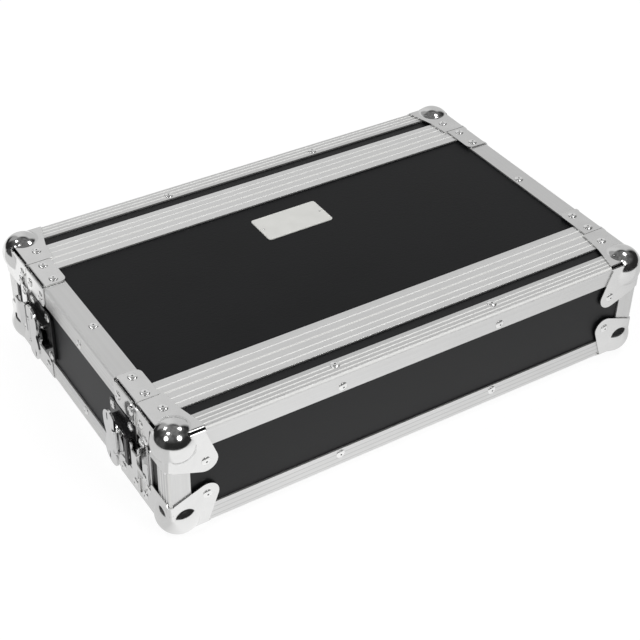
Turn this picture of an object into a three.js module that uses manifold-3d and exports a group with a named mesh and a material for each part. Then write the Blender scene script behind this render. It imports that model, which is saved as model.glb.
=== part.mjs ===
// Two-unit rack case: a plywood sleeve open at both ends, two pull-off lids and four butterfly latches.
// Millimetres. +X is to the right, +Y to the rear, +Z up. The origin is the middle of the case on the floor.
import * as THREE from 'three';
import { mergeVertices } from 'three/addons/utils/BufferGeometryUtils.js';
import Module from 'manifold-3d';

const wasm = await Module();
wasm.setup();

// Rack standard
const rackUnitHeight = 44.45;
const rackUnits = 2;
const panelWidth = 482.6;
const panelEarWidth = 16.3;
const panelHoleInset = 8.75;
const firstHoleHeight = 6.35;
const holePitch = 15.875;
const holesPerUnit = 3;

// Driving dimensions
const bodyLength = 230;
const lidDepth = 56;
const plyThickness = 6.5;
const profileThickness = 1.8;
const seat = 0.2;
const bayHeightRoom = 0.3;
const baySideRoom = 8.2;
const seamGap = 0.4;

// Closing frames, measured inwards from the outer face of the aluminium
const innerFlangeThickness = 1.2;
const innerFlangeLength = 14;
const bodyFlangeWidth = 17.5;
const bodyWebThickness = 2.5;
const tongueLength = 4;
const tongueInset = 4.2;
const tongueThickness = 2.4;
const lidFlangeWidth = 23;
const lidWebThickness = 6.2;
const grooveDepth = 4.8;
const grooveRoom = 0.4;

// Sizes worked out from the ones above
const plyInset = profileThickness + seat;
const bayInset = plyInset + plyThickness;
const frameDepth = bayInset + seat + innerFlangeThickness;
const caseWidth = panelWidth + 2 * baySideRoom + 2 * bayInset;
const caseDepth = bodyLength + 2 * lidDepth;
const caseHeight = rackUnits * rackUnitHeight + bayHeightRoom + 2 * frameDepth;

// Fine ribs rolled into the extrusions
const ribGrooveDepth = 0.3;
const ribGrooveHalfWidth = 0.5;
const frameRibFirst = 8.8;
const frameRibPitch = 7.4;
const angleRibFirst = 5.6;
const angleRibPitch = 4.85;

// Edge angles
const bodyAngleFlange = 22;
const lidAngleFlange = 20.5;
const angleRadius = 3;

// Pressed steel plates: thickness, bend and the slot along each fold
const steel = 1.2;
const foldSlot = 1.8;
const reliefRoom = 1.2;
const bridgeLength = 3;

// Ball corners, measured inwards from the three outer faces
const ballRadius = 20.5;
const ballInset = 13.5;
const ballSegments = 20;
const ballRings = 10;
const cornerTrim = 16;
const cornerPlateLong = 37;
const topPlateFront = 37.5;
const topPlateWaist = 29.4;
const topPlateWaistAt = 33;
const topPlateSeam = 27;
const sidePlateSeam = 7;
const sidePlateMid = 16;
const sidePlateKnee = 28;
const sidePlateFoot = 3.5;
const keeperRoom = 1;
const earCentreAcross = 35.3;
const earCentreDown = 35.4;
const earRadius = 11.5;
const frontPlateLong = 34;
const frontPlateFoot = 36;

// Corner brackets
const bracketLength = 40;
const bracketWidth = 24;
const bracketCorner = 6;

// Rack rails
const railThickness = 2;
const railSetBack = 16;
const railDepth = 30;
const railHole = 9.5;

// Latch, measured outwards from the aluminium's outer face and back from the seam
const latchPlateStart = 3;
const latchPlateEnd = 51;
const latchPlateHalf = 29.5;
const latchPlateThickness = 1.5;
const latchPlateCorner = 6;
const drumCentre = 26;
const drumCapRadius = 15;
const drumCapThickness = 2;
const drumStemRadius = 4;
const drumStemFoot = 0.5;
const drumStemTop = 1.95;
const eccentricRadius = 5;
const latchStroke = 8;
const latchLift = 3.2;
const yokeRoom = 1.2;
const yokeSideRoom = 0.6;
const turningRoom = 0.3;
const hookHalfWidth = 13;
const hookThickness = 2;
const hookTail = 40;
const hookLow = 2;
const hookHigh = 4.9;
const rampStart = 6;
const rampEnd = 2;
const lipInner = 7;
const lipOuter = 9;
const lipReach = 3;
const cheekRoom = 0.4;
const cheekThickness = 2;
const cheekEnd = 42;
const cheekHeight = 6.5;
const bridgeStart = 4.5;
const bridgeEnd = 10.5;
const bridgeThickness = 1.5;

// Folding wing of the latch
const wingPinRadius = 1.1;
const wingBarrelRadius = 1.9;
const wingBarrelHalf = 11.4;
const wingEarThickness = 2;
const wingPinRise = 2.4;
const wingPinForward = 4.5;
const wingThickness = 2;
const wingNeck = 3.2;
const wingFront = 1.5;
const wingNotchRoom = 0.9;
const lobeRadius = 12.7;
const lobeBack = 7.5;
const lobeHalf = 17.5;
const wingWaist = 15.5;
const wingSlotBack = 11.5;
const wingSlotHalf = 22.5;
const wingSlotWidth = 2;
const wingSlotLength = 8;
const wingSlotCorner = 0.8;

// Keeper on the lid
const keeperStart = 2;
const keeperEnd = 19.5;
const keeperHalf = 26;
const keeperThickness = 1.5;
const keeperCorner = 4;
const keeperLipNear = 5;
const keeperLipFar = 6.5;
const keeperLipTop = 4.5;
const keeperLipHalf = 10;

// Foam in the lids
const foamThickness = 10;
const foamRoom = 0.3;

// Overrun of every cutting tool past the face it cuts
const overrun = 5;

const ballProud = ballRadius - ballInset;
const plateOut = seat + steel;
const halfWidth = caseWidth / 2;
const halfDepth = caseDepth / 2;
const halfHeight = caseHeight / 2;
const centreHeight = ballProud + halfHeight;
const seamY = bodyLength / 2;

const X = new THREE.Vector3(1, 0, 0);
const Y = new THREE.Vector3(0, 1, 0);
const Z = new THREE.Vector3(0, 0, 1);

const materials = {
  laminate: { color: 0x1b1b1d, roughness: 0.55, metalness: 0 },
  aluminium: { color: 0xc9c9c6, roughness: 0.4, metalness: 0.9 },
  steel: { color: 0xc4c6c6, roughness: 0.3, metalness: 0.95 },
  chrome: { color: 0xd8d8d8, roughness: 0.12, metalness: 1 },
  rail: { color: 0x202022, roughness: 0.5, metalness: 0.4 },
  foam: { color: 0x2a2a2c, roughness: 0.95, metalness: 0 },
};

// A named mesh of one finish
function part(name, geometry, finish) {
  const mesh = new THREE.Mesh(geometry, new THREE.MeshStandardMaterial(materials[finish]));
  mesh.name = name;
  return mesh;
}

// The geometry with shared vertices and its faces pointing out
function oriented(geometry) {
  const clean = geometry.clone();
  clean.deleteAttribute('normal');
  clean.deleteAttribute('uv');
  const merged = mergeVertices(clean);
  const at = merged.getAttribute('position');
  const index = merged.getIndex();
  const [a, b, c] = [new THREE.Vector3(), new THREE.Vector3(), new THREE.Vector3()];
  let volume = 0;
  for (let i = 0; i < index.count; i += 3) {
    a.fromBufferAttribute(at, index.getX(i));
    b.fromBufferAttribute(at, index.getX(i + 1));
    c.fromBufferAttribute(at, index.getX(i + 2));
    volume += a.dot(b.cross(c));
  }
  if (volume < 0) {
    for (let i = 0; i < index.count; i += 3) {
      const swap = index.getX(i);
      index.setX(i, index.getX(i + 1));
      index.setX(i + 1, swap);
    }
  }
  return merged;
}

function toManifold(geometry) {
  const closed = oriented(geometry);
  return new wasm.Manifold(new wasm.Mesh({
    numProp: 3,
    vertProperties: Float32Array.from(closed.getAttribute('position').array),
    triVerts: Uint32Array.from(closed.getIndex().array),
  }));
}

function toGeometry(manifold) {
  const mesh = manifold.getMesh();
  const geometry = new THREE.BufferGeometry();
  geometry.setAttribute('position', new THREE.BufferAttribute(Float32Array.from(mesh.vertProperties), 3));
  geometry.setIndex(new THREE.BufferAttribute(Uint32Array.from(mesh.triVerts), 1));
  return geometry;
}

function join(...geometries) {
  return toGeometry(geometries.map(toManifold).reduce((all, next) => all.add(next)));
}

function cut(geometry, ...tools) {
  return toGeometry(tools.map(toManifold).reduce((rest, tool) => rest.subtract(tool), toManifold(geometry)));
}

function common(...geometries) {
  return toGeometry(geometries.map(toManifold).reduce((all, next) => all.intersect(next)));
}

// A box between two corners
function block(from, to) {
  const size = to.map((high, i) => high - from[i]);
  const middle = to.map((high, i) => (high + from[i]) / 2);
  return new THREE.BoxGeometry(...size).translate(...middle);
}

// A shape drawn in the axes p and q, extruded along r between two places
function prism(shape, from, to, p, q, r, curveSegments = 2) {
  const geometry = new THREE.ExtrudeGeometry(shape, { depth: to - from, bevelEnabled: false, curveSegments });
  geometry.translate(0, 0, from);
  geometry.applyMatrix4(new THREE.Matrix4().makeBasis(p, q, r));
  return oriented(geometry);
}

function outline(points) {
  return new THREE.Shape(points.map(([u, v]) => new THREE.Vector2(u, v)));
}

// A rectangle with its four corners rounded
function roundedRectangle(left, right, low, high, radius) {
  const shape = new THREE.Shape();
  shape.absarc(right - radius, low + radius, radius, -Math.PI / 2, 0, false);
  shape.absarc(right - radius, high - radius, radius, 0, Math.PI / 2, false);
  shape.absarc(left + radius, high - radius, radius, Math.PI / 2, Math.PI, false);
  shape.absarc(left + radius, low + radius, radius, Math.PI, Math.PI * 1.5, false);
  return shape;
}

function disc(radius, u = 0, v = 0) {
  const shape = new THREE.Shape();
  shape.absarc(u, v, radius, 0, Math.PI * 2, false);
  return shape;
}

// The places of the V grooves on a flange, counted from its outer corner or from the seam
function grooves(first, pitch, length) {
  const places = [];
  for (let place = first; place < length - pitch / 2; place += pitch) {
    places.push(place);
  }
  return places;
}

// Points along an outer face from the corner to the flange's end, dipping in at each groove
function groovedEdge(places) {
  return places.flatMap((place) => [
    [place - ribGrooveHalfWidth, 0],
    [place, ribGrooveDepth],
    [place + ribGrooveHalfWidth, 0],
  ]);
}

// Section of an edge angle: outer faces on both axes, a rounded outer corner, grooves on the top or bottom flange
function angleSection(flange, grooveCentres) {
  const shape = new THREE.Shape();
  shape.moveTo(angleRadius, 0);
  groovedEdge(grooveCentres).forEach(([u, v]) => shape.lineTo(u, v));
  shape.lineTo(flange, 0);
  shape.lineTo(flange, profileThickness);
  shape.lineTo(profileThickness, profileThickness);
  shape.lineTo(profileThickness, flange);
  shape.lineTo(0, flange);
  shape.absarc(angleRadius, angleRadius, angleRadius, Math.PI, Math.PI * 1.5, false);
  return shape;
}

// Maps lengths measured inwards from three outer faces of the case to its frame
function placedAtCorner(geometry, sideX, sideY, sideZ) {
  const placing = new THREE.Matrix4().makeBasis(
    X.clone().multiplyScalar(-sideX),
    Y.clone().multiplyScalar(-sideY),
    Z.clone().multiplyScalar(-sideZ),
  );
  placing.setPosition(sideX * halfWidth, sideY * halfDepth, centreHeight + sideZ * halfHeight);
  return oriented(geometry.clone().applyMatrix4(placing));
}

// A closed frame: one section carried round the four mitred corners of the case.
// The section holds [back from the seam, inwards from the outer face]; back is -1 on the front lid's side.
function mitredFrame(section, face, back) {
  const ring = [];
  for (const [sideX, sideZ] of [[-1, -1], [1, -1], [1, 1], [-1, 1]]) {
    for (const [along, inwards] of section) {
      ring.push(
        sideX * (halfWidth - inwards),
        face + back * along,
        centreHeight + sideZ * (halfHeight - inwards),
      );
    }
  }
  const count = section.length;
  const index = [];
  for (let corner = 0; corner < 4; corner += 1) {
    const here = corner * count;
    const there = ((corner + 1) % 4) * count;
    for (let i = 0; i < count; i += 1) {
      const j = (i + 1) % count;
      index.push(here + i, here + j, there + j);
      index.push(here + i, there + j, there + i);
    }
  }
  const geometry = new THREE.BufferGeometry();
  geometry.setAttribute('position', new THREE.Float32BufferAttribute(ring, 3));
  geometry.setIndex(index);
  return oriented(geometry);
}

// The square channel cut along an edge under the slot of a bracket or a ball corner
const reliefWidth = foldSlot + reliefRoom;

// Cuts the outer corners of a frame back to the plywood, where the folded plates have their slots
function relievedFrame(frame, from, to) {
  const tools = [];
  for (const sideX of [-1, 1]) {
    for (const sideZ of [-1, 1]) {
      const x = [sideX * (halfWidth - reliefWidth), sideX * (halfWidth + overrun)].sort((a, b) => a - b);
      const z = [halfHeight - reliefWidth, halfHeight + overrun].map((v) => centreHeight + sideZ * v);
      z.sort((a, b) => a - b);
      tools.push(block([x[0], from, z[0]], [x[1], to, z[1]]));
    }
  }
  return cut(frame, ...tools);
}

// Body side of the seam: flange, web that the plywood butts against, inner flange and tongue
function bodyFrameSection() {
  return [
    ...groovedEdge(grooves(frameRibFirst, frameRibPitch, bodyFlangeWidth)),
    [bodyFlangeWidth, 0],
    [bodyFlangeWidth, profileThickness],
    [bodyWebThickness, profileThickness],
    [bodyWebThickness, bayInset + seat],
    [innerFlangeLength, bayInset + seat],
    [innerFlangeLength, frameDepth],
    [0, frameDepth],
    [0, tongueInset + tongueThickness],
    [-tongueLength, tongueInset + tongueThickness],
    [-tongueLength, tongueInset],
    [0, tongueInset],
    [0, 0],
  ];
}

// Lid side of the seam: a wider flange and a thicker web with the groove
function lidFrameSection() {
  return [
    ...groovedEdge(grooves(frameRibFirst, frameRibPitch, lidFlangeWidth)),
    [lidFlangeWidth, 0],
    [lidFlangeWidth, profileThickness],
    [lidWebThickness, profileThickness],
    [lidWebThickness, bayInset + seat],
    [innerFlangeLength, bayInset + seat],
    [innerFlangeLength, frameDepth],
    [0, frameDepth],
    [0, tongueInset + tongueThickness + grooveRoom],
    [grooveDepth, tongueInset + tongueThickness + grooveRoom],
    [grooveDepth, tongueInset - grooveRoom],
    [0, tongueInset - grooveRoom],
    [0, 0],
  ];
}

const bodyFace = seamY - seamGap / 2;
const lidFace = seamY + seamGap / 2;

function bodyFrame() {
  const frame = mitredFrame(bodyFrameSection(), -bodyFace, 1);
  return relievedFrame(frame, -bodyFace - overrun, -bodyFace + bodyFlangeWidth + overrun);
}

function lidFrame() {
  const frame = mitredFrame(lidFrameSection(), -lidFace, -1);
  return relievedFrame(frame, -lidFace - lidFlangeWidth - overrun, -lidFace + overrun);
}

// Glued plywood sleeve
function sleeve() {
  const boards = outline([
    [-(halfWidth - plyInset), -(halfHeight - plyInset)],
    [halfWidth - plyInset, -(halfHeight - plyInset)],
    [halfWidth - plyInset, halfHeight - plyInset],
    [-(halfWidth - plyInset), halfHeight - plyInset],
  ]);
  boards.holes.push(outline([
    [-(halfWidth - bayInset), -(halfHeight - bayInset)],
    [-(halfWidth - bayInset), halfHeight - bayInset],
    [halfWidth - bayInset, halfHeight - bayInset],
    [halfWidth - bayInset, -(halfHeight - bayInset)],
  ]));
  const end = bodyFace - bodyWebThickness - seat;
  return prism(boards, -end, end, X, Z, Y).translate(0, 0, centreHeight);
}

// Edge angle of the body, between the two closing frames, cut back at its ends under the bracket slots
function bodyAngle(sideX, sideZ) {
  const start = lidDepth + seamGap / 2 + bodyFlangeWidth + seat;
  const end = caseDepth - start;
  const angle = prism(angleSection(bodyAngleFlange, []), start, end, X, Z, Y);
  const slotEnd = lidDepth + bracketLength - bridgeLength;
  const nearRelief = block([-overrun, start - overrun, -overrun], [reliefWidth, slotEnd, reliefWidth]);
  const farRelief = block(
    [-overrun, caseDepth - slotEnd, -overrun],
    [reliefWidth, end + overrun, reliefWidth],
  );
  return placedAtCorner(cut(angle, nearRelief, farRelief), sideX, -1, sideZ);
}

// Quarter ring that joins two folded plates round a rounded edge
function foldSection() {
  const centre = angleRadius;
  const shape = new THREE.Shape();
  shape.absarc(centre, centre, centre + plateOut, Math.PI, Math.PI * 1.5, false);
  shape.lineTo(centre + seat, -plateOut);
  shape.lineTo(centre + seat, -seat);
  shape.absarc(centre, centre, centre + seat, Math.PI * 1.5, Math.PI, true);
  shape.lineTo(-seat, centre + seat);
  shape.lineTo(-plateOut, centre + seat);
  return shape;
}

// Outline of one leg of a corner bracket, from the fold to its rounded end
function bracketLeg() {
  const start = lidDepth + seamGap / 2;
  const end = lidDepth + bracketLength;
  const shape = new THREE.Shape();
  shape.moveTo(angleRadius, start);
  shape.lineTo(bracketWidth, start);
  shape.absarc(bracketWidth - bracketCorner, end - bracketCorner, bracketCorner, 0, Math.PI / 2, false);
  shape.lineTo(angleRadius, end);
  return shape;
}

// Folded bracket over the joint of a closing frame and an edge angle, with the slot along its fold
function cornerBracket() {
  const start = lidDepth + seamGap / 2;
  const end = lidDepth + bracketLength;
  const folded = join(
    prism(bracketLeg(), -plateOut, -seat, X, Y, Z),
    prism(bracketLeg(), -plateOut, -seat, Z, Y, X),
    prism(foldSection(), start, end, X, Z, Y),
  );
  const slot = block(
    [-plateOut - overrun, start + bridgeLength, -plateOut - overrun],
    [foldSlot, end - bridgeLength, foldSlot],
  );
  return cut(folded, slot);
}

// Removes what lies past the trimmed corner of the case, seen from the ball's centre
function cornerTool(distance) {
  const size = 2 * ballRadius;
  const tool = new THREE.BoxGeometry(2 * size, 2 * size, size);
  tool.translate(0, 0, distance + size / 2);
  const out = new THREE.Vector3(-1, -1, -1).normalize();
  tool.applyQuaternion(new THREE.Quaternion().setFromUnitVectors(Z, out));
  tool.translate(ballInset, ballInset, ballInset);
  return oriented(tool);
}

// The space inside the ball that the plates and the case fill: three bevelled edges and the trimmed corner
function caseInsideBall() {
  const reach = 3 * ballRadius;
  const low = -seat - steel / 2;
  const bevel = 2 * angleRadius - Math.SQRT2 * (angleRadius + seat) - low;
  const section = outline([
    [low, bevel],
    [bevel, low],
    [reach, low],
    [reach, reach],
    [low, reach],
  ]);
  const bevelled = common(
    prism(section, low, reach, X, Y, Z),
    prism(section, low, reach, Y, Z, X),
    prism(section, low, reach, Z, X, Y),
  );
  return cut(bevelled, cornerTool(cornerTrim));
}

// Angle at which a line from a point touches a circle; turn picks one of the two lines
function touchAngle(point, centre, radius, turn) {
  const away = [point[0] - centre[0], point[1] - centre[1]];
  return Math.atan2(away[1], away[0]) + turn * Math.acos(radius / Math.hypot(...away));
}

// Front plate: along both edges, with an ear whose round end is joined to it by straight sides
function frontPlate() {
  const ear = [earCentreAcross, earCentreDown];
  const footAngle = touchAngle([frontPlateFoot, angleRadius], ear, earRadius, 1);
  const longAngle = touchAngle([0, frontPlateLong], ear, earRadius, -1);
  const shape = new THREE.Shape();
  shape.moveTo(angleRadius, angleRadius);
  shape.lineTo(angleRadius, 0);
  shape.lineTo(frontPlateFoot, 0);
  shape.lineTo(frontPlateFoot, angleRadius);
  shape.absarc(...ear, earRadius, footAngle, longAngle + 2 * Math.PI, false);
  shape.lineTo(0, frontPlateLong);
  shape.lineTo(0, angleRadius);
  return shape;
}

// Ball corner: top, front and side plates folded round the edges, slots along two folds, and the pressed ball
function ballCorner() {
  const seamEnd = lidDepth - seamGap / 2;
  const knee = lidDepth - keeperEnd - keeperRoom;
  const topPlate = outline([
    [angleRadius, angleRadius],
    [angleRadius, 0],
    [topPlateFront, 0],
    [topPlateFront, angleRadius],
    [topPlateWaist, topPlateWaistAt],
    [topPlateSeam, seamEnd],
    [0, seamEnd],
    [0, angleRadius],
  ]);
  const sidePlate = outline([
    [angleRadius, 0],
    [seamEnd, 0],
    [seamEnd, sidePlateSeam],
    [lidDepth - keeperEnd / 2, sidePlateMid],
    [knee, sidePlateKnee],
    [knee - sidePlateFoot, cornerPlateLong],
    [0, cornerPlateLong],
    [0, angleRadius],
    [angleRadius, angleRadius],
  ]);
  const bends = [
    prism(foldSection(), ballInset, seamEnd, X, Z, Y),
    prism(foldSection(), ballInset, topPlateFront, Y, Z, X),
    prism(foldSection(), ballInset, frontPlateLong, X, Y, Z),
  ];
  const clearOfEdges = [
    block([-overrun, -overrun, -overrun], [angleRadius, seamEnd + overrun, angleRadius]),
    block([-overrun, -overrun, -overrun], [topPlateFront + overrun, angleRadius, angleRadius]),
    block([-overrun, -overrun, -overrun], [angleRadius, angleRadius, cornerPlateLong + overrun]),
  ];
  const flats = cut(
    join(
      prism(topPlate, -plateOut, -seat, X, Y, Z),
      prism(sidePlate, -plateOut, -seat, Y, Z, X),
      prism(frontPlate(), -plateOut, -seat, X, Z, Y, 5),
    ),
    ...clearOfEdges,
    cornerTool(cornerTrim),
  );
  const slots = [
    block(
      [-plateOut - overrun, ballInset, -plateOut - overrun],
      [foldSlot, seamEnd - bridgeLength, foldSlot],
    ),
    block(
      [ballInset, -plateOut - overrun, -plateOut - overrun],
      [topPlateFront + overrun, foldSlot, foldSlot],
    ),
  ];
  const plates = cut(join(flats, ...bends), ...slots);
  const ball = new THREE.SphereGeometry(ballRadius, ballSegments, ballRings);
  ball.translate(ballInset, ballInset, ballInset);
  return join(plates, cut(ball, caseInsideBall()));
}

// Plywood lid tray, its front corners trimmed to sit inside the balls
function lidTray() {
  const back = lidDepth - seamGap / 2 - lidWebThickness - seat;
  const low = plyInset;
  const high = [caseWidth - plyInset, back, caseHeight - plyInset];
  const hollowLow = [bayInset, bayInset, bayInset];
  const hollowHigh = [caseWidth - bayInset, back + overrun, caseHeight - bayInset];
  const corner = cut(block([low, low, low], high), block(hollowLow, hollowHigh));
  const tray = placedAtCorner(corner, -1, -1, 1);
  return cut(tray, ...trimmedCorners());
}

function trimmedCorners() {
  const tools = [];
  for (const sideX of [-1, 1]) {
    for (const sideZ of [-1, 1]) {
      tools.push(placedAtCorner(cornerTool(cornerTrim - seat), sideX, -1, sideZ));
    }
  }
  return tools;
}

// Edge angle along the top or bottom of a lid's end face
function lidLongAngle(sideZ) {
  const section = angleSection(lidAngleFlange, grooves(angleRibFirst, angleRibPitch, lidAngleFlange));
  const angle = prism(section, reliefWidth, caseWidth - reliefWidth, Y, Z, X);
  const slotEnd = topPlateFront;
  const reliefs = [
    block([-overrun, -overrun, -overrun], [slotEnd, reliefWidth, reliefWidth]),
    block([caseWidth - slotEnd, -overrun, -overrun], [caseWidth + overrun, reliefWidth, reliefWidth]),
  ];
  return cut(placedAtCorner(cut(angle, ...reliefs), -1, -1, sideZ), ...trimmedCorners());
}

// Upright edge angle at the left or right end of a lid
function lidUprightAngle(sideX) {
  const section = angleSection(lidAngleFlange, []);
  const from = lidAngleFlange + seat;
  return placedAtCorner(prism(section, from, caseHeight - from, X, Y, Z), sideX, -1, 1);
}

// Foam lining glued inside the lid's end wall
function lidFoam() {
  const front = bayInset + foamRoom;
  const low = [bayInset + foamRoom, front, bayInset + foamRoom];
  const high = [caseWidth - bayInset - foamRoom, front + foamThickness, caseHeight - bayInset - foamRoom];
  return placedAtCorner(block(low, high), -1, -1, 1);
}

// Rack rail: a drilled face flange that stays clear of the closing frame, and a flange along the side board
function rackRail(side) {
  const outer = halfWidth - bayInset - seat;
  const inner = panelWidth / 2 - panelEarWidth;
  const faceEnd = halfWidth - frameDepth - seat;
  const front = -seamY + railSetBack;
  const half = rackUnits * rackUnitHeight / 2;
  const section = outline([
    [inner, front],
    [faceEnd, front],
    [outer, front + outer - faceEnd],
    [outer, front + railDepth],
    [outer - railThickness, front + railDepth],
    [outer - railThickness, front + railThickness],
    [inner, front + railThickness],
  ]);
  const row = panelWidth / 2 - panelHoleInset;
  const holes = [];
  for (let unit = 0; unit < rackUnits; unit += 1) {
    for (let hole = 0; hole < holesPerUnit; hole += 1) {
      const z = -half + unit * rackUnitHeight + firstHoleHeight + hole * holePitch;
      holes.push(block(
        [row - railHole / 2, front - overrun, z - railHole / 2],
        [row + railHole / 2, front + railThickness + overrun, z + railHole / 2],
      ));
    }
  }
  const rail = cut(prism(section, -half, half, X, Y, Z), ...holes);
  rail.translate(0, 0, centreHeight);
  return side > 0 ? rail : oriented(rail.applyMatrix4(new THREE.Matrix4().makeScale(-1, 1, 1)));
}

// Latch frame: X outwards from the aluminium, Y back from the seam, Z along the seam

// Height of the underside of the drum's cap and of the bridge over the hook
const capUnder = hookLow + latchLift + hookThickness + turningRoom;
const capTop = capUnder + drumCapThickness;
const cheekInner = hookHalfWidth + cheekRoom;
const cheekOuter = cheekInner + cheekThickness;

// Base plate with its packer on the board, two cheeks beside the hook and a bridge over it
function latchPlate() {
  const top = seat + latchPlateThickness;
  const plate = prism(
    roundedRectangle(latchPlateStart, latchPlateEnd, -latchPlateHalf, latchPlateHalf, latchPlateCorner),
    seat, top, Y, Z, X,
  );
  const packerStart = bodyFlangeWidth + seamGap / 2 + seat;
  const packer = block(
    [seat - plyInset, packerStart, -(latchPlateHalf - latchPlateCorner)],
    [seat, latchPlateEnd, latchPlateHalf - latchPlateCorner],
  );
  const cheeks = [-1, 1].flatMap((side) => {
    const z = [side * cheekInner, side * cheekOuter].sort((a, b) => a - b);
    return [
      block([seat, bridgeStart, z[0]], [cheekHeight, cheekEnd, z[1]]),
      block([seat, bridgeStart, z[0]], [capUnder + bridgeThickness, bridgeEnd, z[1]]),
    ];
  });
  const bridge = block([capUnder, bridgeStart, -cheekOuter], [capUnder + bridgeThickness, bridgeEnd, cheekOuter]);
  const bore = prism(disc(drumStemRadius + turningRoom, drumCentre, 0), seat - overrun, top + overrun, Y, Z, X, 8);
  return cut(join(plate, packer, ...cheeks, bridge), bore);
}

// Drum: stem in the base plate, eccentric in the hook's slot, round cap with the wing's two ears.
// It is drawn about its own axis.
function latchDrum() {
  const throwLength = latchStroke / 2;
  const earInner = wingBarrelHalf + turningRoom;
  const earOuter = earInner + wingEarThickness;
  const pinHeight = capTop + wingPinRise;
  const earRadiusOut = wingBarrelRadius;
  const pinPlace = -wingPinForward;
  const ear = new THREE.Shape();
  ear.moveTo(capTop - drumCapThickness / 2, pinPlace - earRadiusOut);
  ear.lineTo(pinHeight, pinPlace - earRadiusOut);
  ear.absarc(pinHeight, pinPlace, earRadiusOut, -Math.PI / 2, Math.PI / 2, false);
  ear.lineTo(capTop - drumCapThickness / 2, pinPlace + earRadiusOut);
  const hole = new THREE.Path();
  hole.absarc(pinHeight, pinPlace, wingPinRadius + turningRoom, 0, Math.PI * 2, true);
  ear.holes.push(hole);
  return join(
    prism(disc(drumStemRadius), drumStemFoot, drumStemTop, Y, Z, X, 8),
    prism(disc(eccentricRadius, -throwLength, 0), drumStemTop - seat, capUnder + seat, Y, Z, X, 8),
    prism(disc(drumCapRadius), capUnder, capTop, Y, Z, X, 12),
    prism(ear, earInner, earOuter, X, Y, Z, 4),
    prism(ear, -earOuter, -earInner, X, Y, Z, 4),
  );
}

// Hook: a plate with the yoke slot for the eccentric, a ramp up to the nose and the lip that grips the keeper
function latchHook() {
  const under = hookHigh;
  const top = hookHigh + hookThickness;
  const slope = (hookHigh - hookLow) / (rampStart - rampEnd);
  const shift = hookThickness * (Math.hypot(1, slope) - 1) / slope;
  const section = outline([
    [hookTail, hookLow],
    [rampStart, hookLow],
    [rampEnd, under],
    [-lipInner, under],
    [-lipInner, hookHigh - lipReach],
    [-lipOuter, hookHigh - lipReach],
    [-lipOuter, top],
    [rampEnd - shift, top],
    [rampStart - shift, hookLow + hookThickness],
    [hookTail, hookLow + hookThickness],
  ]);
  const body = prism(section, -hookHalfWidth, hookHalfWidth, Y, X, Z);
  const yokeHalf = eccentricRadius + latchStroke / 2 + yokeSideRoom;
  const yokeCentre = drumCentre + latchStroke / 2;
  const yokeReach = eccentricRadius + yokeRoom;
  const yoke = prism(
    roundedRectangle(yokeCentre - yokeReach, yokeCentre + yokeReach, -yokeHalf, yokeHalf, yokeRoom),
    hookLow - overrun, hookLow + hookThickness + overrun, Y, Z, X,
  );
  return cut(body, yoke);
}

// Wing: a butterfly plate of two round lobes on a barrel, with a pin end in each ear.
// It is drawn about the hinge line; a notch on each side leaves the drum's ear free.
function latchWing() {
  const pinHalf = wingBarrelHalf + turningRoom + wingEarThickness;
  const notchEnd = pinHalf + wingNotchRoom;
  const reach = lobeBack + lobeRadius;
  const turn = Math.acos((-wingFront - lobeBack) / lobeRadius);
  const lobeEnd = lobeHalf + lobeRadius * Math.sin(turn);
  const shape = new THREE.Shape();
  shape.moveTo(0, -wingBarrelHalf);
  shape.lineTo(wingNeck, -wingBarrelHalf);
  shape.lineTo(wingNeck, -notchEnd);
  shape.lineTo(-wingFront, -notchEnd);
  shape.lineTo(-wingFront, -lobeEnd);
  shape.absarc(lobeBack, -lobeHalf, lobeRadius, -turn, 0, false);
  shape.quadraticCurveTo(reach, -lobeHalf / 2, wingWaist, 0);
  shape.quadraticCurveTo(reach, lobeHalf / 2, reach, lobeHalf);
  shape.absarc(lobeBack, lobeHalf, lobeRadius, 0, turn, false);
  shape.lineTo(-wingFront, notchEnd);
  shape.lineTo(wingNeck, notchEnd);
  shape.lineTo(wingNeck, wingBarrelHalf);
  shape.lineTo(0, wingBarrelHalf);
  const gripSlots = [-1, 1].map((side) => {
    const middle = side * wingSlotHalf;
    const slot = roundedRectangle(
      wingSlotBack - wingSlotWidth / 2, wingSlotBack + wingSlotWidth / 2,
      middle - wingSlotLength / 2, middle + wingSlotLength / 2, wingSlotCorner,
    );
    return prism(slot, -overrun, overrun, Y, Z, X, 3);
  });
  const plate = cut(prism(shape, -wingThickness / 2, wingThickness / 2, Y, Z, X, 6), ...gripSlots);
  return join(
    plate,
    prism(disc(wingBarrelRadius), -wingBarrelHalf, wingBarrelHalf, X, Y, Z, 6),
    prism(disc(wingPinRadius), -pinHalf, pinHalf, X, Y, Z, 4),
  );
}

// Keeper: a plate on the lid's closing frame with a raised lip for the hook
function keeper() {
  const top = seat + keeperThickness;
  return join(
    prism(
      roundedRectangle(-keeperEnd, -keeperStart, -keeperHalf, keeperHalf, keeperCorner),
      seat, top, Y, Z, X,
    ),
    block([seat, -keeperLipFar, -keeperLipHalf], [keeperLipTop, -keeperLipNear, keeperLipHalf]),
  );
}

// The four places of a latch: at the seam on each side, turned so that its axes point out and back
function latchPlace(side, end) {
  const place = new THREE.Group();
  place.position.set(side * halfWidth, end * seamY, centreHeight);
  if (side > 0 && end > 0) {
    place.rotation.x = Math.PI;
  } else if (side < 0 && end < 0) {
    place.rotation.y = Math.PI;
  } else if (side < 0 && end > 0) {
    place.rotation.z = Math.PI;
  }
  return place;
}

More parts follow.
